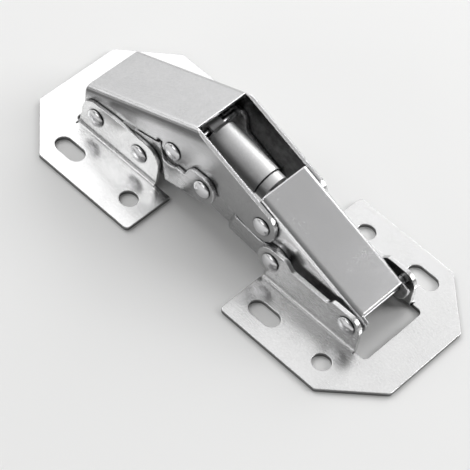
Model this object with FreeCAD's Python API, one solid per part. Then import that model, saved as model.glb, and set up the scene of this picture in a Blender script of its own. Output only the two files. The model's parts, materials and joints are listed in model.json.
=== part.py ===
import FreeCAD, Part
import math
import os

os.makedirs("parts", exist_ok=True)
V = FreeCAD.Vector

# Sheet and running gaps, mm. The parts lie in three layers on each side of the middle plane Y = 0.
sheet = 1.2
side_gap = 0.1          # between two neighbouring layers of sheet
run_gap = 0.05          # radial play of a part that turns on its pin
ear_out = 11.4          # middle plane to the outer face of the plates' ears

# Pivots at rest, (X, Z) in mm, Z up from the board.
P_ARM_CAB = (-45.38, 7.69)      # outer arm on the cabinet plate
P_LINK_CAB = (-29.31, 7.70)     # cabinet link on the cabinet plate
P_ARM_LEVER = (-19.41, 16.75)   # lever on the outer arm
P_LINK_LEVER = (-7.16, 13.82)   # cabinet link on the lever
P_ARM_ARM = (12.30, 16.14)      # inner arm on the outer arm
P_LEVER_DOOR = (18.19, 8.19)    # lever on the door plate
P_ARM_DOOR = (44.52, 8.20)      # inner arm on the door plate
P_DAMP_TOP = (-15.2, 22.4)      # damper on the lever
P_DAMP_LOW = (16.2, 16.5)       # damper on the inner arm

# Mounting plates.
plate_end = 63.6        # middle to the outer end of each plate
plate_mouth = 16.8      # middle to the inner end of each plate
plate_w = 55.0
corner_x = 14.0         # cut corner, along X
corner_y = 13.5         # cut corner, along Y
window_end = 52.6       # middle to the closed end of the window
hole_d = 5.3
slot_len = 9.6
hole_pitch_y = 40.0
cab_outer_x, cab_inner_x = -45.7, -23.6
door_inner_x, door_outer_x = 25.5, 45.4
bend_r = 1.0            # inside radius of the ears' bend

# Pins and rivets.
pin_r = 1.5
head_r = 2.5
head_h = 1.0
tail_r = 2.2
tail_h = 0.5
damp_pin_r = 1.1

# Arms.
arm_slope = 23.33       # outer arm's top, degrees up towards the middle
arm_top_z = 14.5        # height of that top above its outer end
arm_top_end = -13.9     # X where the outer arm's top stops
inner_slope = -19.2
inner_top = (10.3, 23.4)
inner_top_end = 46.2    # X where the inner arm's top stops
channel_bend = 1.7      # outside radius of the channels' bends

# Joggles of the link and the lever, measured from their first pivot along the part.
link_joggle = 7.8
lever_joggle = 22.6
joggle_len = 1.4

# Damper, lengths along its axis from the upper pin.
damp_r = 4.5
damp_wall = 0.9
damp_back = 1.5         # upper pin to the closed end
rod_out = 12.2          # barrel's open end to the lower pin, at rest
groove_r = 3.9          # groove between the barrel and its collar
groove_len = 0.4
sleeve_r = 4.2
sleeve_len = 2.6
rod_r = 1.2
rod_eye_r = 1.8
seal_len = 1.4
piston_len = 2.8
piston_gap = 1.5        # seal to the piston, at rest

L0 = (ear_out - sheet, ear_out)
L1 = (L0[0] - side_gap - sheet, L0[0] - side_gap)
L2 = (L1[0] - side_gap - sheet, L1[0] - side_gap)
reach = 1.5 * plate_end  # far enough to run past every outline


def rounded(points, place):
    """Closed wire through (u, v, r) corners, each rounded to radius r; place maps (u, v) to a vector."""
    n = len(points)
    ends = []
    for i in range(n):
        u, v, r = points[i]
        a, b = points[i - 1], points[(i + 1) % n]
        pa = FreeCAD.Base.Vector2d(a[0] - u, a[1] - v)
        pb = FreeCAD.Base.Vector2d(b[0] - u, b[1] - v)
        la, lb = math.hypot(pa.x, pa.y), math.hypot(pb.x, pb.y)
        ea, eb = (pa.x / la, pa.y / la), (pb.x / lb, pb.y / lb)
        half = 0.5 * math.acos(max(-1.0, min(1.0, ea[0] * eb[0] + ea[1] * eb[1])))
        if r <= 0 or half > 1.56:
            ends.append(((u, v), None, (u, v)))
            continue
        cut = r / math.tan(half)
        mid = (ea[0] + eb[0], ea[1] + eb[1])
        lm = math.hypot(mid[0], mid[1])
        reach = r / math.sin(half) - r
        ends.append(((u + ea[0] * cut, v + ea[1] * cut),
                     (u + mid[0] / lm * reach, v + mid[1] / lm * reach),
                     (u + eb[0] * cut, v + eb[1] * cut)))
    edges = []
    for i in range(n):
        start, middle, stop = ends[i]
        if middle is not None:
            edges.append(Part.Arc(place(*start), place(*middle), place(*stop)).toShape())
        nxt = ends[(i + 1) % n][0]
        if math.hypot(nxt[0] - stop[0], nxt[1] - stop[1]) > 1e-6:
            edges.append(Part.makeLine(place(*stop), place(*nxt)))
    return Part.Wire(edges)


def side_slab(points, y0, y1):
    """Sheet lying in the XZ plane from y0 to y1."""
    face = Part.Face(rounded(points, lambda u, v: V(u, y0, v)))
    return face.extrude(V(0, y1 - y0, 0))


def flat_slab(points, z0, z1):
    """Sheet lying in the XY plane from z0 to z1."""
    face = Part.Face(rounded(points, lambda u, v: V(u, v, z0)))
    return face.extrude(V(0, 0, z1 - z0))


def disc(pivot, r, y0, y1):
    """Cylinder along Y round a pivot."""
    return Part.makeCylinder(r, y1 - y0, V(pivot[0], y0, pivot[1]), V(0, 1, 0))


def mirrored(shape):
    return shape.mirror(V(0, 0, 0), V(0, 1, 0))


def both(shape):
    return shape.fuse(mirrored(shape))


def tidy(shape):
    shape = shape.removeSplitter()
    return shape.Solids[0] if len(shape.Solids) == 1 else shape


def dome(pivot, y, r, h):
    """Low head that stands out along +Y from y: a cone with a flat on top."""
    wire = Part.makePolygon([V(0, 0, 0), V(r, 0, 0), V(0.5 * r, h, 0), V(0, h, 0), V(0, 0, 0)])
    solid = Part.Face(wire).revolve(V(0, 0, 0), V(0, 1, 0), 360)
    solid.translate(V(pivot[0], y, pivot[1]))
    return solid


def rivet(pivot, y_in, y_out, tail=False):
    """Far-side rivet: domed head on y_out, shank down to y_in, and a flat set tail if asked."""
    body = disc(pivot, pin_r, y_in, y_out).fuse(dome(pivot, y_out, head_r, head_h))
    if tail:
        body = body.fuse(disc(pivot, tail_r, y_in - tail_h, y_in))
    return tidy(body)


def through_pin(pivot, y_out):
    """Pin right across, with a domed head on each side."""
    body = disc(pivot, pin_r, -y_out, y_out).fuse(dome(pivot, y_out, head_r, head_h))
    return tidy(body.fuse(mirrored(dome(pivot, y_out, head_r, head_h))))


def joggled(start, goal, at, y_a, y_b, reach):
    """Sheet that steps from layer y_a to layer y_b at a distance from start towards goal."""
    ux, uz = goal[0] - start[0], goal[1] - start[1]
    length = math.hypot(ux, uz)
    ux, uz = ux / length, uz / length
    lean = math.atan2(y_b - y_a, joggle_len)
    s = 0.5 * sheet * math.tan(lean / 2)
    pts = [(-reach, y_a + sheet, 0), (at - s, y_a + sheet, 0.6), (at + joggle_len - s, y_b + sheet, 1.2),
           (reach, y_b + sheet, 0), (reach, y_b, 0), (at + joggle_len + s, y_b, 0.6), (at + s, y_a, 1.2),
           (-reach, y_a, 0)]

    def place(d, y):
        return V(start[0] + ux * d + uz * reach, y, start[1] + uz * d - ux * reach)

    face = Part.Face(rounded(pts, place))
    return face.extrude(V(-2 * reach * uz, 0, 2 * reach * ux))


def channel(origin, slope, half):
    """U channel, open below, whose top's outer face passes through origin at the slope; it runs past both ends."""
    c, s = math.cos(math.radians(slope)), math.sin(math.radians(slope))
    inner = max(0.3, channel_bend - sheet)
    w, t = half, sheet
    pts = [(-w, -reach, 0), (-w, 0, channel_bend), (w, 0, channel_bend), (w, -reach, 0),
           (w - t, -reach, 0), (w - t, -t, inner), (-w + t, -t, inner), (-w + t, -reach, 0)]

    def place(y, n):
        return V(origin[0] - s * n - c * reach, y, origin[1] + c * n - s * reach)

    face = Part.Face(rounded(pts, place))
    return face.extrude(V(2 * reach * c, 0, 2 * reach * s))


def plate(sign, holes, slots, base, ear_shape, ear_holes):
    """Mounting plate with two ears bent up out of its legs; sign is -1 for the cabinet side."""
    out, mouth, w = sign * plate_end, sign * plate_mouth, plate_w / 2
    win = sign * window_end
    shape = flat_slab([(mouth, -w, 1.2), (out - sign * corner_x, -w, 1.0), (out, -w + corner_y, 1.0),
                       (out, w - corner_y, 1.0), (out - sign * corner_x, w, 1.0), (mouth, w, 1.2),
                       (mouth, ear_out, 0), (win, ear_out, 1.5), (win, -ear_out, 1.5),
                       (mouth, -ear_out, 0)], 0, sheet)
    y_bend = ear_out + bend_r
    band = Part.makeBox(base[1] - base[0], 2 * y_bend, 2 * sheet, V(base[0], -y_bend, -0.5 * sheet))
    shape = shape.cut(band)
    arc_o, arc_i = bend_r + sheet, bend_r
    k = math.sqrt(0.5)
    cy, cz = y_bend, bend_r + sheet
    top = 40.0

    def at(y, z):
        return V(base[0], y, z)

    wire = Part.Wire([
        Part.Arc(at(cy, 0), at(cy - arc_o * k, cz - arc_o * k), at(cy - arc_o, cz)).toShape(),
        Part.makeLine(at(cy - arc_o, cz), at(cy - arc_o, top)),
        Part.makeLine(at(cy - arc_o, top), at(cy - arc_i, top)),
        Part.makeLine(at(cy - arc_i, top), at(cy - arc_i, cz)),
        Part.Arc(at(cy - arc_i, cz), at(cy - arc_i * k, cz - arc_i * k), at(cy, cz - arc_i)).toShape(),
        Part.makeLine(at(cy, cz - arc_i), at(cy, 0))])
    bend = Part.Face(wire).extrude(V(base[1] - base[0], 0, 0))
    bend = bend.common(side_slab(ear_shape, L0[0] - 1, y_bend + 1))
    high = side_slab(ear_shape, L0[0], L0[1])
    high = high.cut(Part.makeBox(2 * reach, ear_out, reach, V(-reach, L0[0] - ear_out / 2, cz - reach)))
    ear = bend.fuse(high)
    for pivot in ear_holes:
        ear = ear.cut(disc(pivot, pin_r, L0[0] - 1, y_bend + 1))
    shape = shape.fuse([ear, mirrored(ear)])
    for x, y in holes:
        shape = shape.cut(Part.makeCylinder(hole_d / 2, 2 * sheet, V(x, y, -0.5 * sheet)))
    for x, y in slots:
        h, r = slot_len / 2, hole_d / 2
        slot = flat_slab([(x - h, y - r, r * 0.999), (x + h, y - r, r * 0.999), (x + h, y + r, r * 0.999),
                          (x - h, y + r, r * 0.999)], -0.5 * sheet, 1.5 * sheet)
        shape = shape.cut(slot)
    return tidy(shape)


def save(name, shape):
    shape.exportStep(os.path.join("parts", name + ".step"))


def save_pair(name, shape):
    """Far side as built, near side mirrored."""
    save(name + "_far", shape)
    save(name + "_near", mirrored(shape))


# Plates
a1, a2 = P_ARM_CAB, P_LINK_CAB
ear_a = [(a1[0] - 5.6, -1, 0), (a1[0] - 5.1, a1[1] + 4.0, 4.2), (a1[0] + 5.2, a1[1] + 5.0, 4.0),
         (a2[0] + 7.1, a2[1] + 5.0, 5.4), (a2[0] + 7.1, -1, 0)]
yh = hole_pitch_y / 2
cabinet_plate = plate(-1, [(cab_inner_x, -yh), (cab_outer_x, yh)], [(cab_outer_x, -yh), (cab_inner_x, yh)],
                      (a1[0] - 6, a2[0] + 7.2), ear_a, [a1, a2])
b1, b2 = P_LEVER_DOOR, P_ARM_DOOR
ear_b = [(b1[0] - 1.2, -1, 0), (b1[0] - 1.2, b1[1], 0), (b1[0], b1[1] + 4.4, 0), (b1[0] + 4.6, b1[1] + 4.4, 2.0),
         (b1[0] + 7.0, b1[1] + 2.3, 1.0), (b2[0] - 7.2, b2[1] + 2.1, 1.2), (b2[0] - 5.6, b2[1] + 3.9, 1.2),
         (b2[0] + 4.2, b2[1] + 3.9, 4.0), (b2[0] + 4.4, -1, 0)]
door_plate = plate(1, [(door_outer_x, -yh), (door_inner_x, yh)], [(door_inner_x, -yh), (door_outer_x, yh)],
                   (b1[0] - 1.2, b2[0] + 4.6), ear_b, [b1, b2])
eye = disc(b1, 4.4, L0[0], L0[1]).cut(disc(b1, pin_r, L0[0] - 1, L0[1] + 1))
door_plate = tidy(door_plate.fuse([eye, mirrored(eye)]))
save("cabinet_plate", cabinet_plate)
save("door_plate", door_plate)

# Outer arm
top_left = (a1[0] - 5.8, arm_top_z)
r3, r4, r5 = P_ARM_LEVER, P_LINK_LEVER, P_ARM_ARM
run = math.tan(math.radians(arm_slope))
peak = arm_top_z + (arm_top_end - top_left[0]) * run
arm_side = [(a1[0] - 5.9, peak + 5, 0), (a1[0] - 5.9, a1[1] + 4.5, 2.0), (a1[0] - 5.3, a1[1] - 5.2, 4.9),
            (a1[0] + 5.1, a1[1] - 5.2, 4.9), (a1[0] + 5.1, a1[1] + 1.6, 1.5),
            (a2[0] - 7.3, a2[1] + 5.6, 2.0), (r3[0] - 5.9, r3[1] - 0.75, 0), (r3[0] - 5.6, r3[1] + 0.5, 0),
            (r3[0] - 3.9, r3[1] + 0.5, 0), (r3[0] - 3.9, r3[1] - 1.4, 1.5), (r3[0] - 2.2, r3[1] - 3.5, 1.5),
            (r4[0] - 7.4, r4[1] - 0.4, 0), (r4[0] + 3.6, r4[1] + 1.1, 0),
            (r5[0] - 10.5, r5[1] - 2.8, 0), (r5[0] - 3.2, r5[1] - 4.6, 2.0), (r5[0] + 4.6, r5[1] - 4.9, 4.4),
            (r5[0] + 4.5, r5[1] + 3.9, 4.2), (arm_top_end + 1.2, peak - 0.1, 0), (arm_top_end, peak + 0.1, 0),
            (arm_top_end, peak + 5, 0)]
outer_arm = channel(top_left, arm_slope, L1[1]).common(side_slab(arm_side, -L1[1] - 1, L1[1] + 1))
outer_arm = outer_arm.cut(disc((r4[0] - 1.4, r4[1] - 1.0), 5.1, -L1[1] - 1, L1[1] + 1))
outer_arm = outer_arm.cut(Part.makeBox(reach, 2 * L1[0], reach, V(arm_top_end, -L1[0], 0)))
outer_arm = outer_arm.cut(disc(a1, pin_r + run_gap, -20, 20))
outer_arm = outer_arm.cut(disc(r3, pin_r, -20, 20)).cut(disc(r5, pin_r, -20, 20))
save("outer_arm", tidy(outer_arm))

# Inner arm
inner_side = [(inner_top[0] - 0.8, 40, 0), (inner_top[0] - 0.8, inner_top[1] - 3.6, 0),
              (r5[0] - 3.8, r5[1] + 2.4, 0), (r5[0] - 3.8, r5[1] - 3.2, 3.4),
              (r5[0] + 11.0, r5[1] - 8.6, 6.0),
              (b2[0] + 4.0, b2[1] - 5.0, 3.9), (b2[0] + 4.0, b2[1] + 2.6, 3.6), (b2[0] + 2.2, 40, 0)]
inner_arm = channel(inner_top, inner_slope, L2[1]).common(side_slab(inner_side, -L2[1] - 1, L2[1] + 1))
inner_arm = inner_arm.cut(Part.makeBox(reach, 2 * L2[0], reach, V(inner_top_end, -L2[0], 0)))
inner_arm = inner_arm.cut(disc(r5, pin_r + run_gap, -20, 20)).cut(disc(b2, pin_r + run_gap, -20, 20))
inner_arm = inner_arm.cut(disc(P_DAMP_LOW, damp_pin_r, -20, 20))
save("inner_arm", tidy(inner_arm))

# Cabinet links, one on each side
link_side = [(a2[0] - 5.6, a2[1] - 5.6, 5.4), (a2[0] - 5.6, a2[1] + 5.2, 5.0), (r3[0] - 4.9, r3[1] - 1.2, 0.5),
             (r3[0] - 4.4, r3[1] + 0.1, 0), (r3[0] - 3.0, r3[1] + 0.1, 0), (r3[0], r3[1] - 3.0, 0),
             (r4[0] - 6.6, r4[1] - 0.3, 1.0), (r4[0] - 5.0, r4[1] + 4.0, 2.4), (r4[0] + 4.0, r4[1] + 4.0, 3.9),
             (r4[0] + 4.0, r4[1] - 4.0, 3.9), (r4[0] - 1.5, r4[1] - 5.2, 2.0),
             (a2[0] + 8.0, a2[1] - 1.8, 2.0), (a2[0] + 4.5, a2[1] - 5.6, 3.0)]
link = joggled(a2, r4, link_joggle, L1[0], L0[0], 45).common(side_slab(link_side, 0, 30))
link = link.cut(disc(r3, 4.2, 0, 30)).cut(disc(a2, pin_r + run_gap, 0, 30)).cut(disc(r4, pin_r, 0, 30))
save_pair("cabinet_link", tidy(link))

# Levers, one on each side
u = P_DAMP_TOP
lever_side = [(r3[0] - 3.9, r3[1] + 4.2, 3.4), (u[0] - 2.8, u[1] + 2.6, 2.6), (u[0] + 3.5, u[1] + 2.4, 2.6),
              (u[0] + 5.0, u[1] - 3.4, 2.5), (r4[0] + 9.0, r4[1] + 0.8, 0), (r4[0] + 9.8, r4[1] - 1.7, 0),
              (b1[0] - 5.4, b1[1] + 2.6, 1.5), (b1[0] + 0.2, b1[1] + 3.9, 2.4), (b1[0] + 3.7, b1[1] + 3.2, 3.0),
              (b1[0] + 3.7, b1[1] - 3.7, 3.6), (b1[0] - 3.2, b1[1] - 3.4, 2.0), (r4[0] + 10.0, r4[1] - 7.7, 2.0),
              (r4[0] - 2.0, r4[1] - 6.2, 3.0), (r3[0] + 2.0, r3[1] - 4.0, 2.0), (r3[0] - 3.9, r3[1] - 3.9, 3.8)]
lever = joggled(r3, b1, lever_joggle, L2[0], L1[0], 45).common(side_slab(lever_side, 0, 30))
lever = lever.cut(disc(r3, pin_r + run_gap, 0, 30)).cut(disc(u, damp_pin_r, 0, 30))
save_pair("lever", tidy(lever))

# Pins and rivets
save("cabinet_arm_pin", through_pin(a1, L0[1]))
save("arm_lever_pin", through_pin(r3, L1[1]))
save("door_arm_pin", through_pin(b2, L0[1]))
save_pair("cabinet_link_rivet", rivet(a2, L1[0] - side_gap / 2, L0[1], True))
save_pair("lever_link_rivet", rivet(r4, L1[0] - side_gap / 2, L0[1]))
save_pair("arm_arm_rivet", rivet(r5, L2[0] - side_gap / 2, L1[1], True))
save_pair("door_lever_rivet", rivet(b1, L0[0], L0[1]))
spacer = disc(r4, 2.4, L1[0] - side_gap / 2, L0[0]).cut(disc(r4, pin_r, 0, 30))
save_pair("link_spacer", spacer)
save("damper_lower_pin", disc(P_DAMP_LOW, damp_pin_r, -L2[1], L2[1]))
save_pair("damper_pin_end", disc(u, damp_pin_r, L2[0], L2[1]))

# Damper, built along +X from the upper pin and then turned onto its line
span = math.hypot(P_DAMP_LOW[0] - u[0], P_DAMP_LOW[1] - u[1])
angle = math.degrees(math.atan2(P_DAMP_LOW[1] - u[1], P_DAMP_LOW[0] - u[0]))


def turned(points):
    """Solid of revolution about the damper's axis from (distance, radius) corners."""
    face = Part.Face(Part.makePolygon([V(x, 0, r) for x, r in points + points[:1]]))
    return face.revolve(V(0, 0, 0), V(1, 0, 0), 360)


def on_damper(shape):
    shape.rotate(V(0, 0, 0), V(0, 1, 0), -angle)
    shape.translate(V(u[0], 0, u[1]))
    return shape


bore = damp_r - damp_wall
back, front = damp_back, span - rod_out
cylinder = turned([(back, 0), (back, damp_r - 1.0), (back + 1.0, damp_r), (front, damp_r), (front, bore),
                   (back + 1.2, bore), (back + 1.2, 0)])
tang = Part.makeCylinder(2.1, 4.4, V(0, -2.2, 0), V(0, 1, 0))
tang = tang.fuse(Part.makeBox(back + 0.4, 4.4, 4.2, V(0, -2.2, -2.1)))
tang = tang.cut(Part.makeCylinder(damp_pin_r, 10, V(0, -5, 0), V(0, 1, 0)))
save("damper_cylinder", on_damper(tidy(cylinder.fuse(tang))))
nose = front + groove_len + sleeve_len
play = rod_r + run_gap
collar = turned([(front, play), (front, groove_r), (front + groove_len, groove_r), (front + groove_len, sleeve_r),
                 (nose, sleeve_r), (nose, play)])
save("damper_collar", on_damper(collar))
seal_at = front - seal_len
seal = turned([(seal_at, play), (seal_at, bore - run_gap), (front, bore - run_gap), (front, play)])
save("damper_seal", on_damper(seal))
piston_at = seal_at - piston_gap - piston_len
piston = turned([(piston_at, rod_r), (piston_at, bore - run_gap), (piston_at + piston_len, bore - run_gap),
                 (piston_at + piston_len, rod_r)])
save("damper_piston", on_damper(piston))
rod = turned([(piston_at, 0), (piston_at, rod_r), (span - 1.0, rod_r), (span - 1.0, 0)])
rod = rod.fuse(Part.makeCylinder(rod_eye_r, 2 * rod_eye_r, V(span, -rod_eye_r, 0), V(0, 1, 0)))
rod = rod.cut(Part.makeCylinder(damp_pin_r + run_gap, 10, V(span, -5, 0), V(0, 1, 0)))
save("damper_rod", on_damper(tidy(rod)))
bar_end = L2[0] - side_gap
save("damper_cross_bar", on_damper(Part.makeCylinder(damp_pin_r, 2 * bar_end, V(0, -bar_end, 0), V(0, 1, 0))))
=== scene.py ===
"""Concealed folding hinge with a damper: finishes, small details, light and camera."""

import json
import logging
import math
from dataclasses import dataclass, field
from enum import Enum
from typing import Dict, List, Sequence, Tuple, Union

import bmesh
import bpy
from mathutils import Matrix, Vector


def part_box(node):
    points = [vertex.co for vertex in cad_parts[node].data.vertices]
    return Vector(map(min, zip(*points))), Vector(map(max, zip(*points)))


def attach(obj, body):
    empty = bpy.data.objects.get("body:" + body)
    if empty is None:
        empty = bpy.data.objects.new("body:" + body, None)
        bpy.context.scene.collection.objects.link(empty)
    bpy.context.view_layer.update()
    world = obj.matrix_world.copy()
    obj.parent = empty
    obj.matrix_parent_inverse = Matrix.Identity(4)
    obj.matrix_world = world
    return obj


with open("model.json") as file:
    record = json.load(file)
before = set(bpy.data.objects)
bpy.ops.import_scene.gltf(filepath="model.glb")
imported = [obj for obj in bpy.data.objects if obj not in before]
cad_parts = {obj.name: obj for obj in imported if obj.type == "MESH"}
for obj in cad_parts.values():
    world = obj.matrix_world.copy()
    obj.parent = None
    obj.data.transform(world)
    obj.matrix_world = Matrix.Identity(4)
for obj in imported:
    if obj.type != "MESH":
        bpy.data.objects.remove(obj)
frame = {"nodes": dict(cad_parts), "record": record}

LOG = logging.getLogger("hinge")
Point = Tuple[float, float, float]
Colour = Tuple[float, float, float, float]
Source = Union[bpy.types.NodeSocket, float, Point, Colour]
Outputs = bpy.types.bpy_prop_collection

# Sockets of the Mix node that carry colours.
MIX_FIRST, MIX_SECOND, MIX_RESULT = 6, 7, 2
BEVEL_SAMPLES = 4
# A face with a normal higher than this looks up.
UPWARD = 0.5


def grey(tone: float, tint: float = 0.0) -> Colour:
    """Gives an opaque grey, with some more of blue."""
    return (tone, tone, tone + tint, 1.0)


def direction(azimuth: float, elevation: float) -> Vector:
    """Gives the direction from the hinge at an azimuth and an elevation, both in degrees."""
    a, e = math.radians(azimuth), math.radians(elevation)
    return Vector((math.cos(a) * math.cos(e), math.sin(a) * math.cos(e), math.sin(e)))


class Lay(Enum):
    """Direction in which a sheet was rolled, which its fine lines follow."""

    ALONG_X = (0.12, 1.0, 1.0)
    EVEN = (1.0, 1.0, 1.0)


class Kind(Enum):
    """Kind of a node group's socket."""

    COLOUR = "NodeSocketColor"
    NUMBER = "NodeSocketFloat"
    VECTOR = "NodeSocketVector"


@dataclass(frozen=True)
class Noise:
    """One noise pattern.

    Args:
        scale: Number of cells in a metre.
        detail: Number of finer layers on top.
        rough: Strength of each finer layer against the one before.
    """

    scale: float
    detail: float = 2.0
    rough: float = 0.5


@dataclass(frozen=True)
class Span:
    """Two values between which an effect sets in.

    Args:
        start: Value where it starts.
        end: Value where it is whole.
    """

    start: float = 0.0
    end: float = 1.0


@dataclass(frozen=True)
class MetalFinish:
    """One plated or polished metal finish.

    Args:
        name: Name of the material.
        colour: Base colour of the plating.
        deep: Colour of its duller patches.
        rough: Roughness of clean plating.
        grain: Strength of the rolling lines, 0 to 1.
        edge: Rounding of cut edges, in metres, and the width of their painted highlight.
        lay: Direction of the rolling lines.
        inside: Brightness of faces that look in towards the middle or down, against the top: painted
            shade.
        side: Brightness of the outer side faces, against the top: painted shade below 1, painted light
            above 1.
        rim: Brightness of the sheet's cut edge where it lies on the board, against the top: painted
            shade.
        band: Brightness of the strip of a side face just below the bend, against the rest of it: a
            painted dark band below 1, a painted highlight above 1.
        crevice_shade: How much painted shade darkens the corners and the gaps between pieces, 0 to 1.
    """

    name: str
    colour: Colour
    deep: Colour
    rough: float
    grain: float
    edge: float
    lay: Lay = Lay.EVEN
    inside: float = 1.0
    side: float = 1.0
    rim: float = 1.0
    band: float = 1.0
    crevice_shade: float = 0.92


@dataclass(frozen=True)
class MouldedFinish:
    """A moulded plastic or rubber finish.

    Args:
        name: Name of the material.
        colour: Base colour.
        rough: Roughness.
        speckle: Strength of the fine texture.
    """

    name: str
    colour: Colour
    rough: float
    speckle: float


@dataclass(frozen=True)
class Top:
    """The flat top of a channel.

    Args:
        normal: Its normal.
        level: Its distance from the origin along the normal, in metres.
    """

    normal: Point = (0.0, 0.0, 1.0)
    level: float = 1.0

    @classmethod
    def of(cls, node: str) -> "Top":
        """Finds the top of a packed channel, its largest face that looks up."""
        upward = [face for face in frame["nodes"][node].data.polygons if face.normal.z > UPWARD]
        top = max(upward, key=lambda face: face.area)
        return cls(tuple(top.normal), top.normal.dot(top.center))


class Wiring:
    """Adds nodes to a material or a group and joins them."""

    def __init__(self, tree: bpy.types.NodeTree) -> None:
        """Takes the tree that gets the nodes."""
        self.tree = tree

    def add(self, kind: str) -> bpy.types.Node:
        """Adds a node of one kind, named without its ShaderNode prefix."""
        return self.tree.nodes.new("ShaderNode" + kind)

    def feed(self, socket: bpy.types.NodeSocket, source: Source) -> None:
        """Links a source to an input, or sets the input where the source is a plain value.

        Args:
            socket: The input.
            source: An output of another node, or a value.
        """
        if isinstance(source, bpy.types.NodeSocket):
            self.tree.links.new(source, socket)
        else:
            socket.default_value = source

    def feed_all(self, node: bpy.types.Node, sources: Dict[str, Source]) -> bpy.types.Node:
        """Feeds several inputs of a node.

        Args:
            node: The node.
            sources: Source of each input, by the input's name.

        Returns:
            The same node.
        """
        for name, source in sources.items():
            self.feed(node.inputs[name], source)
        return node

    def coordinates(self, kind: str) -> bpy.types.NodeSocket:
        """Gives the texture coordinates of one kind, such as Object or Normal."""
        return self.add("TexCoord").outputs[kind]

    def apart(self, vector: Source) -> Outputs:
        """Splits a vector.

        Args:
            vector: The vector.

        Returns:
            Outputs named X, Y and Z.
        """
        node = self.add("SeparateXYZ")
        self.feed(node.inputs[0], vector)
        return node.outputs

    def math(self, operation: str, *terms: Source) -> bpy.types.NodeSocket:
        """Works with numbers.

        Args:
            operation: Name of the operation, as the Math node has it.
            terms: Its terms, in order.

        Returns:
            The result.
        """
        node = self.add("Math")
        node.operation = operation
        for socket, term in zip(node.inputs, terms):
            self.feed(socket, term)
        return node.outputs[0]

    def product(self, first: Source, second: Source) -> bpy.types.NodeSocket:
        """Multiplies two numbers."""
        return self.math("MULTIPLY", first, second)

    def vectors(self, operation: str, first: Source, second: Source) -> Outputs:
        """Works with two vectors.

        Args:
            operation: Name of the operation, as the Vector Math node has it.
            first: First vector.
            second: Second vector.

        Returns:
            Outputs named Vector and Value.
        """
        node = self.add("VectorMath")
        node.operation = operation
        self.feed(node.inputs[0], first)
        self.feed(node.inputs[1], second)
        return node.outputs

    def scaled(self, colour: Source, factor: Source) -> bpy.types.NodeSocket:
        """Brightens or darkens a colour.

        Args:
            colour: The colour.
            factor: What it is multiplied by.

        Returns:
            The new colour.
        """
        node = self.add("VectorMath")
        node.operation = "SCALE"
        self.feed(node.inputs[0], colour)
        self.feed(node.inputs["Scale"], factor)
        return node.outputs[0]

    def noise(self, pattern: Noise, place: Source) -> bpy.types.NodeSocket:
        """Lays a noise pattern.

        Args:
            pattern: The pattern.
            place: Coordinates that it follows.

        Returns:
            Its value, about 0.3 to 0.7.
        """
        return self.feed_all(self.add("TexNoise"), {
            "Vector": place, "Scale": pattern.scale, "Detail": pattern.detail,
            "Roughness": pattern.rough}).outputs["Fac"]

    def fade(self, value: Source, span: Span, start: Source = 0.0, end: Source = 1.0,
             soft: bool = False) -> bpy.types.NodeSocket:
        """Goes from one number to another while a value crosses a span.

        Args:
            value: The value.
            span: The span.
            start: Result at the span's start and before it.
            end: Result at the span's end and past it.
            soft: True for a slow start and end.

        Returns:
            The result.
        """
        node = self.add("MapRange")
        node.interpolation_type = "SMOOTHSTEP" if soft else "LINEAR"
        return self.feed_all(node, {"Value": value, "From Min": span.start, "From Max": span.end,
                                    "To Min": start, "To Max": end}).outputs["Result"]

    def choice(self, chosen: Source, otherwise: Source, value: Source) -> bpy.types.NodeSocket:
        """Gives one number where a mask is 0 and another where it is 1.

        Args:
            chosen: The mask.
            otherwise: Number where the mask is 0.
            value: Number where the mask is 1.

        Returns:
            The number.
        """
        return self.fade(chosen, Span(), otherwise, value)

    def mixed(self, factor: Source, first: Source, second: Source,
              clamp: bool = True) -> bpy.types.NodeSocket:
        """Mixes two colours.

        Args:
            factor: Share of the second colour.
            first: First colour.
            second: Second colour.
            clamp: False where the share may pass 0 and 1.

        Returns:
            The mixed colour.
        """
        node = self.add("Mix")
        node.data_type = "RGBA"
        node.clamp_factor = clamp
        self.feed(node.inputs["Factor"], factor)
        self.feed(node.inputs[MIX_FIRST], first)
        self.feed(node.inputs[MIX_SECOND], second)
        return node.outputs[MIX_RESULT]

    def rounded(self, radius: Source) -> bpy.types.NodeSocket:
        """Gives the normal of the surface with its edges rounded.

        Args:
            radius: Radius of the rounding, in metres.

        Returns:
            The normal.
        """
        node = self.add("Bevel")
        node.samples = BEVEL_SAMPLES
        return self.feed_all(node, {"Radius": radius}).outputs["Normal"]

    def bump(self, height: Source, strength: float, depth: float) -> bpy.types.Node:
        """Adds fine relief.

        Args:
            height: Height of the surface, 0 to 1.
            strength: How much of it shows.
            depth: Height of 1, in metres.

        Returns:
            The Bump node.
        """
        return self.feed_all(self.add("Bump"), {
            "Height": height, "Strength": strength, "Distance": depth})

    def placed(self, group: bpy.types.NodeTree, sources: Dict[str, Source]) -> Outputs:
        """Places a node group.

        Args:
            group: The group.
            sources: Source of each of its inputs.

        Returns:
            Its outputs.
        """
        node = self.add("Group")
        node.node_tree = group
        return self.feed_all(node, sources).outputs


class GroupWiring(Wiring):
    """Adds nodes to a new node group, with named inputs and outputs."""

    def __init__(self, name: str, inputs: Dict[str, Tuple[Kind, Source]],
                 outputs: Dict[str, Kind]) -> None:
        """Makes the group and its sockets.

        Args:
            name: Name of the group.
            inputs: Kind and value of each input.
            outputs: Kind of each output.
        """
        super().__init__(bpy.data.node_groups.new(name, "ShaderNodeTree"))
        for label, (kind, value) in inputs.items():
            made = self.tree.interface.new_socket(name=label, in_out="INPUT", socket_type=kind.value)
            made.default_value = value
        for label, kind in outputs.items():
            self.tree.interface.new_socket(name=label, in_out="OUTPUT", socket_type=kind.value)
        self.given = self.tree.nodes.new("NodeGroupInput").outputs
        self.result = self.tree.nodes.new("NodeGroupOutput").inputs


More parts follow.
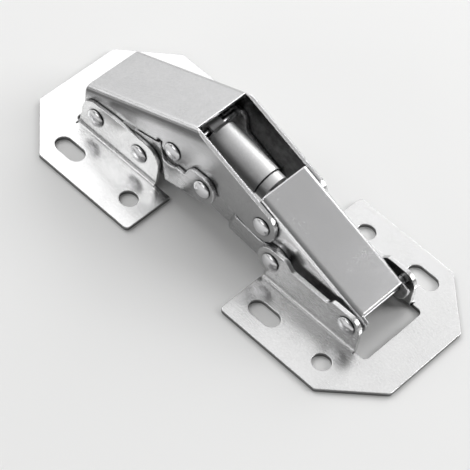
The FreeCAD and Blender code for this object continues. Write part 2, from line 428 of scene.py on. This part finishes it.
@dataclass(frozen=True)
class RolledPlating:
    """Rolling lines, dull patches and fine specks of plated sheet.

    Args:
        lines: Pattern of the rolling lines.
        line_rough: Roughness that the lines add.
        patches: Pattern of the dull patches.
        patch_span: Values of that pattern from a bright place to a dull one.
        patch_rough: Roughness that a dull patch adds.
        specks: Pattern of the fine specks.
        speck_span: Values of that pattern from a light speck to a dark one.
        speck_pull: How far a light and a dark speck pull the colour from bright to dull.
    """

    lines: Noise = Noise(scale=5200.0, detail=3.0)
    line_rough: float = 0.10
    patches: Noise = Noise(scale=95.0, detail=4.0, rough=0.62)
    patch_span: Span = Span(0.42, 0.72)
    patch_rough: float = 0.03
    specks: Noise = Noise(scale=1700.0, detail=3.0, rough=0.75)
    speck_span: Span = Span(0.36, 0.66)
    speck_pull: Tuple[float, float] = (-0.5, 0.6)

    def build(self) -> bpy.types.NodeTree:
        """Builds the group.

        Returns:
            Group with outputs Colour, Rough and Height.
        """
        wires = GroupWiring(
            "rolled_plating",
            {"Bright": (Kind.COLOUR, grey(0.8)), "Dull": (Kind.COLOUR, grey(0.6)),
             "Rough": (Kind.NUMBER, 0.25), "Grain": (Kind.NUMBER, 0.3),
             "Lay": (Kind.VECTOR, Lay.EVEN.value)},
            {"Colour": Kind.COLOUR, "Rough": Kind.NUMBER, "Height": Kind.NUMBER})
        given, result, place = wires.given, wires.result, wires.coordinates("Object")
        lines = wires.noise(self.lines, wires.vectors("MULTIPLY", place, given["Lay"])["Vector"])
        patches = wires.fade(wires.noise(self.patches, place), self.patch_span)
        specks = wires.fade(wires.noise(self.specks, place), self.speck_span, *self.speck_pull)
        dull = wires.math("ADD", patches, specks)
        wires.feed(result["Colour"], wires.mixed(dull, given["Bright"], given["Dull"], clamp=False))
        lined = wires.math("MULTIPLY_ADD", lines, self.line_rough, given["Rough"])
        wires.feed(result["Rough"], wires.math("MULTIPLY_ADD", patches, self.patch_rough, lined))
        wires.feed(result["Height"], wires.product(lines, given["Grain"]))
        return wires.tree


@dataclass(frozen=True)
class PaintedFaceShading:
    """Painted shade and painted light on faces by the way they look: the side faces, the darker inside of
    a channel with random mottling, a band just below the bend, and the sheet's rim on the board.

    Args:
        inward: A face looks in where its place times its normal, both across the hinge, is below this.
        downward: A face looks down where its normal's height is below this.
        upright: A side face is flat where its normal across the hinge is above this.
        bend: Depths below the top between which the band sets in, in metres.
        mottling: Pattern of random mottling in the painted shade inside.
        mottle_span: Values of that pattern from a dark place to a light one.
        mottle_tones: Brightness of a dark place and of a light one.
        rim_height: Height of the sheet's top, which the rim stays below, in metres.
        rim_tilt: The rim is where the normal's height is below this.
    """

    inward: float = -0.003
    downward: float = -0.5
    upright: float = 0.9
    bend: Span = Span(0.0045, 0.0020)
    mottling: Noise = Noise(scale=420.0, detail=6.0, rough=0.7)
    mottle_span: Span = Span(0.35, 0.65)
    mottle_tones: Tuple[float, float] = (0.55, 1.35)
    rim_height: float = 0.00121
    rim_tilt: float = 0.5

    def build(self) -> bpy.types.NodeTree:
        """Builds the group.

        Returns:
            Group with output Colour.
        """
        wires = GroupWiring(
            "painted_face_shading",
            {"Colour": (Kind.COLOUR, grey(0.8)), "Inside": (Kind.NUMBER, 1.0),
             "Side": (Kind.NUMBER, 1.0), "Rim": (Kind.NUMBER, 1.0), "Band": (Kind.NUMBER, 1.0),
             "Top": (Kind.VECTOR, Top().normal), "Level": (Kind.NUMBER, Top().level)},
            {"Colour": Kind.COLOUR})
        given, place = wires.given, wires.coordinates("Object")
        where, facing = wires.apart(place), wires.apart(wires.coordinates("Normal"))
        # Painted shade: faces that look in or down are darkened, with random mottling.
        looks_in = wires.math("LESS_THAN", wires.product(where["Y"], facing["Y"]), self.inward)
        looks_down = wires.math("LESS_THAN", facing["Z"], self.downward)
        inside = wires.math("MAXIMUM", looks_in, looks_down)
        mottle = wires.fade(wires.noise(self.mottling, place), self.mottle_span, *self.mottle_tones)
        # Painted shade and painted light on side faces, and a painted band just below the bend.
        across = wires.math("ABSOLUTE", facing["Y"])
        height = wires.vectors("DOT_PRODUCT", place, given["Top"])["Value"]
        depth = wires.math("SUBTRACT", given["Level"], height)
        near_bend = wires.fade(depth, self.bend, 1.0, given["Band"], soft=True)
        flat = wires.math("GREATER_THAN", across, self.upright)
        side = wires.choice(across, 1.0, given["Side"])
        outside = wires.product(side, wires.choice(flat, 1.0, near_bend))
        tone = wires.choice(inside, outside, wires.product(mottle, given["Inside"]))
        # Painted shade on the sheet's cut edge where it lies on the board.
        low = wires.math("LESS_THAN", where["Z"], self.rim_height)
        tilted = wires.math("LESS_THAN", facing["Z"], self.rim_tilt)
        tone = wires.choice(wires.product(low, tilted), tone, given["Rim"])
        wires.feed(wires.result["Colour"], wires.scaled(given["Colour"], tone))
        return wires.tree


@dataclass(frozen=True)
class PaintedEdgeHighlight:
    """A painted highlight on cut edges and bends, where the rounded normal turns from the plain one.

    Args:
        turn: Agreement of the plain and the rounded normal, from a flat place to an edge.
    """

    turn: Span = Span(0.995, 0.86)

    def build(self) -> bpy.types.NodeTree:
        """Builds the group.

        Returns:
            Group with output Colour.
        """
        wires = GroupWiring(
            "painted_edge_highlight",
            {"Colour": (Kind.COLOUR, grey(0.8)), "Edge": (Kind.COLOUR, grey(1.0)),
             "Width": (Kind.NUMBER, 0.0004)},
            {"Colour": Kind.COLOUR})
        given, plain_normal = wires.given, wires.add("NewGeometry").outputs["Normal"]
        # Painted highlight: the colour turns towards the edge colour near edges.
        agreement = wires.vectors("DOT_PRODUCT", wires.rounded(given["Width"]), plain_normal)["Value"]
        edge = wires.fade(agreement, self.turn)
        wires.feed(wires.result["Colour"], wires.mixed(edge, given["Colour"], given["Edge"]))
        return wires.tree


@dataclass(frozen=True)
class CrevicePaintedShade:
    """Painted shade in corners and in the gaps between pieces, where little open sky is seen.

    Args:
        reach: How near another surface has to be, in metres.
        openness: Share of open sky, from an open place to a tight corner.
        colour: Colour of the painted shade.
        samples: Rays that look for other surfaces.
    """

    reach: float = 0.001
    openness: Span = Span(0.95, 0.40)
    colour: Colour = grey(0.02)
    samples: int = 8

    def build(self) -> bpy.types.NodeTree:
        """Builds the group.

        Returns:
            Group with output Colour.
        """
        wires = GroupWiring(
            "crevice_painted_shade",
            {"Colour": (Kind.COLOUR, grey(0.8)), "Reach": (Kind.NUMBER, self.reach),
             "Strength": (Kind.NUMBER, 0.75)},
            {"Colour": Kind.COLOUR})
        given, sky = wires.given, wires.add("AmbientOcclusion")
        sky.samples = self.samples
        wires.feed(sky.inputs["Distance"], given["Reach"])
        # Painted shade: darkens the colour where nearby surfaces hide the sky.
        painted_shade = wires.fade(sky.outputs["AO"], self.openness, 0.0, given["Strength"])
        wires.feed(wires.result["Colour"], wires.mixed(painted_shade, given["Colour"], self.colour))
        return wires.tree


class FinishShop:
    """Makes the shared node groups and the materials that place them.

    Attributes:
        edge_highlight_colour: Colour of the painted highlight on cut edges.
        line_strength: How much of the rolling lines' relief shows.
        line_depth: Height of that relief, in metres.
        mould_texture: Pattern of moulded surfaces.
        mould_depth: Height of that pattern, in metres.
    """

    edge_highlight_colour: Colour = grey(0.97, 0.01)
    line_strength: float = 0.12
    line_depth: float = 0.00004
    mould_texture: Noise = Noise(scale=2600.0)
    mould_depth: float = 0.00005

    def __init__(self) -> None:
        """Builds the node groups once."""
        self.plating = RolledPlating().build()
        self.tones = PaintedFaceShading().build()
        self.edge_highlight = PaintedEdgeHighlight().build()
        self.painted_shade = CrevicePaintedShade().build()
        self.made: Dict[str, bpy.types.Material] = {}

    def _start(self, name: str) -> Tuple[Wiring, bpy.types.Node]:
        """Starts a material.

        Args:
            name: Name of the material.

        Returns:
            Its wiring and its shader.
        """
        mat = bpy.data.materials.new(name)
        mat.use_nodes = True
        self.made[name] = mat
        return Wiring(mat.node_tree), mat.node_tree.nodes["Principled BSDF"]

    def metal(self, finish: MetalFinish, top: Top = Top()) -> bpy.types.Material:
        """Makes or finds a metal material.

        Args:
            finish: What the plating looks like.
            top: Top of the channel that carries it, for the painted band below the bend.

        Returns:
            The material.
        """
        if finish.name in self.made:
            return self.made[finish.name]
        wires, skin = self._start(finish.name)
        sheet = wires.placed(self.plating, {
            "Bright": finish.colour, "Dull": finish.deep, "Rough": finish.rough, "Grain": finish.grain,
            "Lay": finish.lay.value})
        # Painted shade and painted light on side faces, insides, the rim and the band below the bend.
        toned = wires.placed(self.tones, {
            "Colour": sheet["Colour"], "Inside": finish.inside, "Side": finish.side, "Rim": finish.rim,
            "Band": finish.band, "Top": top.normal, "Level": top.level})
        # Painted highlight on cut edges.
        highlighted = wires.placed(self.edge_highlight, {
            "Colour": toned["Colour"], "Edge": self.edge_highlight_colour, "Width": finish.edge})
        # Painted shade in corners and gaps.
        shaded = wires.placed(self.painted_shade, {"Colour": highlighted["Colour"], "Strength": finish.crevice_shade})
        relief = wires.bump(sheet["Height"], self.line_strength, self.line_depth)
        wires.feed(relief.inputs["Normal"], wires.rounded(finish.edge))
        wires.feed_all(skin, {"Metallic": 1.0, "Base Color": shaded["Colour"], "Roughness": sheet["Rough"],
                              "Normal": relief.outputs["Normal"]})
        return self.made[finish.name]

    def moulded(self, finish: MouldedFinish) -> bpy.types.Material:
        """Makes or finds a plastic or rubber material.

        Args:
            finish: What the moulding looks like.

        Returns:
            The material.
        """
        if finish.name in self.made:
            return self.made[finish.name]
        wires, skin = self._start(finish.name)
        texture = wires.noise(self.mould_texture, wires.coordinates("Object"))
        relief = wires.bump(texture, finish.speckle, self.mould_depth)
        wires.feed_all(skin, {"Base Color": finish.colour, "Roughness": finish.rough,
                              "Normal": relief.outputs["Normal"]})
        return self.made[finish.name]


def dress(nodes: Sequence[str], material: bpy.types.Material) -> None:
    """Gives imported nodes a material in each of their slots.

    Args:
        nodes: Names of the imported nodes.
        material: The material.
    """
    for name in nodes:
        obj = frame["nodes"][name]
        if not obj.material_slots:
            obj.data.materials.append(material)
        for slot in obj.material_slots:
            slot.material = material
        LOG.info("%s in %s", name, material.name)


def sides(*names: str) -> List[str]:
    """Names both pieces of each pair, from the pairs' stems."""
    return [f"{name}_{side}" for name in names for side in ("near", "far")]


def body_of(node: str) -> str:
    """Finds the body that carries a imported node."""
    bodies = frame["record"]["behaviour"]["bodies"]
    return next(body for body, nodes in bodies.items() if node in nodes)


@dataclass(frozen=True)
class Turning:
    """A turned shape, given by its half section.

    Args:
        section: Corners as (distance along the axis, radius), in metres, from the foot to the tip.
        steps: Number of faces round the axis.
    """

    section: Tuple[Tuple[float, float], ...]
    steps: int = 48

    def cut_into(self, mesh: bmesh.types.BMesh, at: Vector, axis: Vector) -> None:
        """Adds the shape to a mesh.

        Args:
            mesh: Mesh that takes the shape.
            at: Point on the axis where the distance is zero.
            axis: Direction of the axis.
        """
        side = axis.orthogonal().normalized()
        across = axis.cross(side).normalized()
        turn = [2 * math.pi * i / self.steps for i in range(self.steps)]
        spokes = [side * math.cos(angle) + across * math.sin(angle) for angle in turn]
        rings = []
        for along, radius in self.section:
            centre = at + axis * along
            corners = [centre + spoke * radius for spoke in spokes] if radius else [centre]
            rings.append([mesh.verts.new(corner) for corner in corners])
        for low, high in zip(rings, rings[1:]):
            for i in range(self.steps):
                j = (i + 1) % self.steps
                corners = [low[i], low[j]] + ([high[0]] if len(high) == 1 else [high[j], high[i]])
                mesh.faces.new(corners).smooth = True


def add_piece(name: str, mesh: bmesh.types.BMesh, material: bpy.types.Material, body: str) -> None:
    """Turns a mesh into a piece that moves with a body.

    Args:
        name: Name of the piece.
        mesh: Its mesh, in the frame's own place.
        material: Its material.
        body: Body that carries it.
    """
    data = bpy.data.meshes.new(name)
    mesh.to_mesh(data)
    mesh.free()
    data.materials.append(material)
    piece = bpy.data.objects.new(name, data)
    bpy.context.scene.collection.objects.link(piece)
    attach(piece, body)
    LOG.info("%s on %s", name, body)


@dataclass
class Plates:
    """The two mounting plates.

    Args:
        cabinet: Finish of the cabinet's plate.
        door: Finish of the door's plate, darker than the cabinet's as painted shade.
    """

    # The inside, side and rim factors of both plates are painted shade.
    cabinet: MetalFinish = MetalFinish(
        "plate_nickel", colour=grey(0.81), deep=grey(0.75), rough=0.20, grain=0.5, edge=0.0003,
        lay=Lay.ALONG_X, inside=0.6, side=0.74, rim=0.4)
    # The same plating as the cabinet's plate, with a darker base colour as painted shade.
    door: MetalFinish = MetalFinish(
        "door_plate_nickel", colour=grey(0.70), deep=grey(0.64), rough=0.20, grain=0.5, edge=0.0003,
        lay=Lay.ALONG_X, inside=0.6, side=0.84, rim=0.45)

    def dress(self, shop: FinishShop) -> None:
        """Dresses both plates."""
        dress(["cabinet_plate"], shop.metal(self.cabinet))
        dress(["door_plate"], shop.metal(self.door))


@dataclass
class Arms:
    """The two channel arms.

    Args:
        outer: Finish of the outer arm.
        inner: Finish of the inner arm.
    """

    # Painted shade on the side faces, the inside and a dark band below the bend.
    outer: MetalFinish = MetalFinish(
        "outer_arm_nickel", colour=grey(0.785, 0.005), deep=grey(0.71, 0.005), rough=0.19, grain=0.5,
        edge=0.0006, lay=Lay.ALONG_X, inside=0.22, side=0.54, band=0.38)
    # Painted light on the side faces and a painted highlight band below the bend; painted shade on the
    # inside.
    inner: MetalFinish = MetalFinish(
        "inner_arm_nickel", colour=grey(0.67, 0.005), deep=grey(0.645, 0.005), rough=0.19, grain=0.5,
        edge=0.0006, lay=Lay.ALONG_X, inside=0.45, side=1.2, band=1.22)

    def dress(self, shop: FinishShop) -> None:
        """Dresses both arms."""
        for node, finish in (("outer_arm", self.outer), ("inner_arm", self.inner)):
            dress([node], shop.metal(finish, Top.of(node)))


@dataclass
class Linkage:
    """The links and levers at the sides.

    Args:
        link: Finish of the cabinet's links.
        lever: Finish of the levers.
    """

    # Painted shade on the side faces and the inside.
    link: MetalFinish = MetalFinish(
        "link_nickel", colour=grey(0.72, 0.005), deep=grey(0.64, 0.005), rough=0.21, grain=0.6,
        edge=0.0006, lay=Lay.ALONG_X, inside=0.40, side=0.56)
    # Painted shade on the side faces and the inside, with less painted shade in corners and gaps.
    lever: MetalFinish = MetalFinish(
        "lever_nickel", colour=grey(0.76, 0.005), deep=grey(0.68, 0.005), rough=0.21, grain=0.6,
        edge=0.0006, lay=Lay.ALONG_X, inside=0.50, side=0.60, crevice_shade=0.4)

    def dress(self, shop: FinishShop) -> None:
        """Dresses the links and levers."""
        dress(sides("cabinet_link"), shop.metal(self.link))
        dress(sides("lever"), shop.metal(self.lever))


@dataclass
class Fasteners:
    """Pins, rivets and spacers.

    Args:
        pins: Pins right across, with a head on each side.
        rivets: Rivets of one side, by their stems.
        flush: Pins without a head.
        head: Finish of them all.
        head_height: Height of a packed head, in metres.
        dome: Half section of a set dome, as shares of the head's height and radius.
        tolerance: Difference that counts as none, in metres.
    """

    pins: Tuple[str, ...] = ("cabinet_arm_pin", "arm_lever_pin", "door_arm_pin")
    rivets: Tuple[str, ...] = ("cabinet_link_rivet", "lever_link_rivet", "arm_arm_rivet",
                               "door_lever_rivet")
    flush: Tuple[str, ...] = ("damper_lower_pin", "damper_cross_bar")
    head: MetalFinish = MetalFinish(
        "rivet_nickel", colour=grey(0.80, 0.01), deep=grey(0.74, 0.01), rough=0.18, grain=0.2,
        edge=0.00015)
    head_height: float = 0.001
    dome: Tuple[Tuple[float, float], ...] = (
        (0.0, 1.0), (0.10, 1.05), (0.25, 1.08), (0.42, 1.04), (0.60, 0.95), (0.78, 0.83), (0.94, 0.68),
        (1.06, 0.52), (1.15, 0.35), (1.20, 0.18), (1.21, 0.0))
    tolerance: float = 1e-6

    def heads(self, node: str) -> List[Tuple[Vector, Vector, float]]:
        """Finds the heads of a pin or rivet from its box.

        A pin right across has one at each end, and a rivet has one at its outer end.

        Args:
            node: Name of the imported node.

        Returns:
            Middle of the underside, outward axis and radius of each head.
        """
        low, high = (Vector(corner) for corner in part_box(node))
        middle, radius = (low + high) / 2, (high.x - low.x) / 2
        found = []
        for sign, face in ((-1, low.y), (1, high.y)):
            if abs(face) > abs(middle.y) + self.tolerance:
                underside = Vector((middle.x, face - sign * self.head_height, middle.z))
                found.append((underside, Vector((0, sign, 0)), radius))
        return found

    def round_heads(self, shop: FinishShop) -> None:
        """Puts a set dome over every head.

        Args:
            shop: Where the finish is made.
        """
        for node in [*self.pins, *sides(*self.rivets)]:
            mesh = bmesh.new()
            for at, axis, radius in self.heads(node):
                section = tuple((h * self.head_height, r * radius) for h, r in self.dome)
                Turning(section).cut_into(mesh, at, axis)
            add_piece(node + "_dome", mesh, shop.metal(self.head), body_of(node))

    def dress(self, shop: FinishShop) -> None:
        """Dresses every pin, rivet and spacer."""
        self.round_heads(shop)
        nodes = [*self.pins, *self.flush, *sides(*self.rivets, "link_spacer", "damper_pin_end")]
        dress(nodes, shop.metal(self.head))


@dataclass
class Damper:
    """The damper between the arms.

    Args:
        shell: Finish of the cylinder and its collar.
        rod: Finish of the rod.
        piston: Finish of the piston.
        seal: Finish of the seal.
    """

    shell: MetalFinish = MetalFinish(
        "damper_nickel", colour=grey(0.77), deep=grey(0.72, 0.005), rough=0.47, grain=0.3, edge=0.0002)
    rod: MetalFinish = MetalFinish(
        "rod_polish", colour=grey(0.80, 0.02), deep=grey(0.76, 0.02), rough=0.10, grain=0.1, edge=0.0001)
    piston: MouldedFinish = MouldedFinish(
        "piston_moulding", colour=grey(0.85, -0.03), rough=0.4, speckle=0.1)
    seal: MouldedFinish = MouldedFinish("seal_rubber", colour=grey(0.03), rough=0.6, speckle=0.2)

    def dress(self, shop: FinishShop) -> None:
        """Dresses the damper's pieces.

        Args:
            shop: Where the finishes are made.
        """
        dress(["damper_cylinder", "damper_collar"], shop.metal(self.shell))
        dress(["damper_rod"], shop.metal(self.rod))
        dress(["damper_piston"], shop.moulded(self.piston))
        dress(["damper_seal"], shop.moulded(self.seal))


@dataclass(frozen=True)
class Lamp:
    """One soft lamp that faces the hinge.

    Args:
        azimuth: Azimuth that it shines from, in degrees.
        elevation: Elevation that it shines from, in degrees.
        size: Width and height of its face, in metres.
        watts: Its power.
        distance: Its distance from the hinge, in metres.
    """

    azimuth: float
    elevation: float
    size: Tuple[float, float]
    watts: float
    distance: float = 0.9


@dataclass
class Studio:
    """Floor, lamps and camera.

    Args:
        target: Point that the camera looks at, in metres.
        azimuth: Azimuth of the camera from there, in degrees.
        elevation: Elevation of the camera, in degrees.
        roll: Turn of the camera about its line of sight, in degrees.
        distance: Distance of the camera from the target, in metres.
        lens: Focal length, in millimetres.
        sensor: Width of the sensor, in millimetres.
        near_clip: Nearest distance that the camera sees, in metres.
        floor_colour: Colour of the floor.
        floor_rough: Roughness of the floor.
        floor_shine: Share of light that it mirrors.
        floor_half: Half the floor's width, in metres.
        floor_drop: Depth of the floor below the plates, in metres.
        window_azimuth: Azimuth of the room's bright side, in degrees.
        window_elevation: Elevation of the room's bright side, in degrees.
        room_strength: Strength of the room's light.
        room_tones: Brightness of the room, from the side across from the window at 0 to the window at 1.
        lamps: The lamps by name.
    """

    target: Point = (0.00114, -0.00437, -0.00342)
    azimuth: float = -56.291
    elevation: float = 51.674
    roll: float = 12.244
    distance: float = 0.608
    lens: float = 176.6
    sensor: float = 36.0
    near_clip: float = 0.01
    floor_colour: Colour = grey(0.87, -0.005)
    floor_rough: float = 0.7
    floor_shine: float = 0.2
    floor_half: float = 3.0
    floor_drop: float = 0.00005
    window_azimuth: float = 140.0
    window_elevation: float = 46.0
    room_strength: float = 1.0
    room_tones: Tuple[Tuple[float, float], ...] = (
        (0.0, 0.12), (0.5, 0.14), (0.75, 0.28), (0.866, 0.44), (0.935, 0.9), (0.98, 1.0), (0.993, 1.5),
        (1.0, 1.75))
    lamps: Dict[str, Lamp] = field(default_factory=lambda: {
        "key": Lamp(97.0, 27.0, (0.50, 0.50), 2.2),
        "side": Lamp(48.0, 30.0, (0.50, 0.50), 3.2),
        "front_left": Lamp(229.0, 48.0, (0.28, 0.28), 0.55),
        "front_strip": Lamp(261.0, 17.0, (0.62, 0.30), 0.95),
        "left_strip": Lamp(205.0, 20.0, (0.50, 0.30), 0.5),
        "back_left": Lamp(172.0, 44.0, (0.50, 0.50), 1.4)})

    def floor(self) -> None:
        """Lays the pale floor."""
        half = self.floor_half
        corners = [(-half, -half, 0), (half, -half, 0), (half, half, 0), (-half, half, 0)]
        mesh = bpy.data.meshes.new("floor")
        mesh.from_pydata(corners, [], [(0, 1, 2, 3)])
        obj = bpy.data.objects.new("floor", mesh)
        obj.location.z = -self.floor_drop
        bpy.context.scene.collection.objects.link(obj)
        mat = bpy.data.materials.new("pale_floor")
        mat.use_nodes = True
        Wiring(mat.node_tree).feed_all(mat.node_tree.nodes["Principled BSDF"], {
            "Base Color": self.floor_colour, "Roughness": self.floor_rough,
            "Specular IOR Level": self.floor_shine})
        mesh.materials.append(mat)

    def world(self) -> None:
        """Lights the room from a broad bright side behind the hinge, dimmer at the front and overhead."""
        world = bpy.data.worlds.new("room")
        bpy.context.scene.world = world
        world.use_nodes = True
        wires = Wiring(world.node_tree)
        window = direction(self.window_azimuth, self.window_elevation)
        facing = wires.vectors("DOT_PRODUCT", wires.coordinates("Generated"), window)["Value"]
        ramp = wires.add("ValToRGB")
        ramp.color_ramp.interpolation = "EASE"
        stops = ramp.color_ramp.elements
        for stop, (at, tone) in zip(list(stops), (self.room_tones[0], self.room_tones[-1])):
            stop.position = at
            stop.color = grey(tone)
        for at, tone in self.room_tones[1:-1]:
            stops.new(at).color = grey(tone)
        wires.feed(ramp.inputs["Fac"], wires.fade(facing, Span(-1.0, 1.0)))
        room = world.node_tree.nodes["Background"]
        wires.feed_all(room, {"Color": ramp.outputs["Color"], "Strength": self.room_strength})

    def light(self) -> None:
        """Hangs the soft lamps."""
        for name, lamp in self.lamps.items():
            data = bpy.data.lights.new(name, "AREA")
            data.shape = "ELLIPSE"
            data.size, data.size_y = lamp.size
            data.energy = lamp.watts
            obj = bpy.data.objects.new(name, data)
            away = direction(lamp.azimuth, lamp.elevation)
            obj.location = away * lamp.distance
            obj.rotation_euler = away.to_track_quat("Z", "Y").to_euler()
            bpy.context.scene.collection.objects.link(obj)

    def camera(self) -> None:
        """Puts the camera where the photograph was taken from."""
        data = bpy.data.cameras.new("camera")
        data.lens = self.lens
        data.sensor_width = self.sensor
        data.clip_start = self.near_clip
        obj = bpy.data.objects.new("camera", data)
        away = direction(self.azimuth, self.elevation)
        place = Matrix.Translation(Vector(self.target) + away * self.distance)
        level = away.to_track_quat("Z", "Y").to_matrix().to_4x4()
        obj.matrix_world = place @ level @ Matrix.Rotation(math.radians(self.roll), 4, "Z")
        bpy.context.scene.collection.objects.link(obj)
        bpy.context.scene.camera = obj

    def build(self) -> None:
        """Sets up the whole studio."""
        self.floor()
        self.world()
        self.light()
        self.camera()
        bpy.context.scene.view_settings.view_transform = "Standard"
        LOG.info("studio with %d lamps", len(self.lamps))


def main() -> None:
    """Builds and dresses every sub-assembly in order."""
    logging.basicConfig(level=logging.INFO, format="%(name)s: %(message)s")
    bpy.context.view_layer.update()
    shop = FinishShop()
    for assembly in (Plates(), Arms(), Linkage(), Fasteners(), Damper()):
        assembly.dress(shop)
        LOG.info("%s done", type(assembly).__name__)
    Studio().build()


if __name__ == "__main__":
    main()
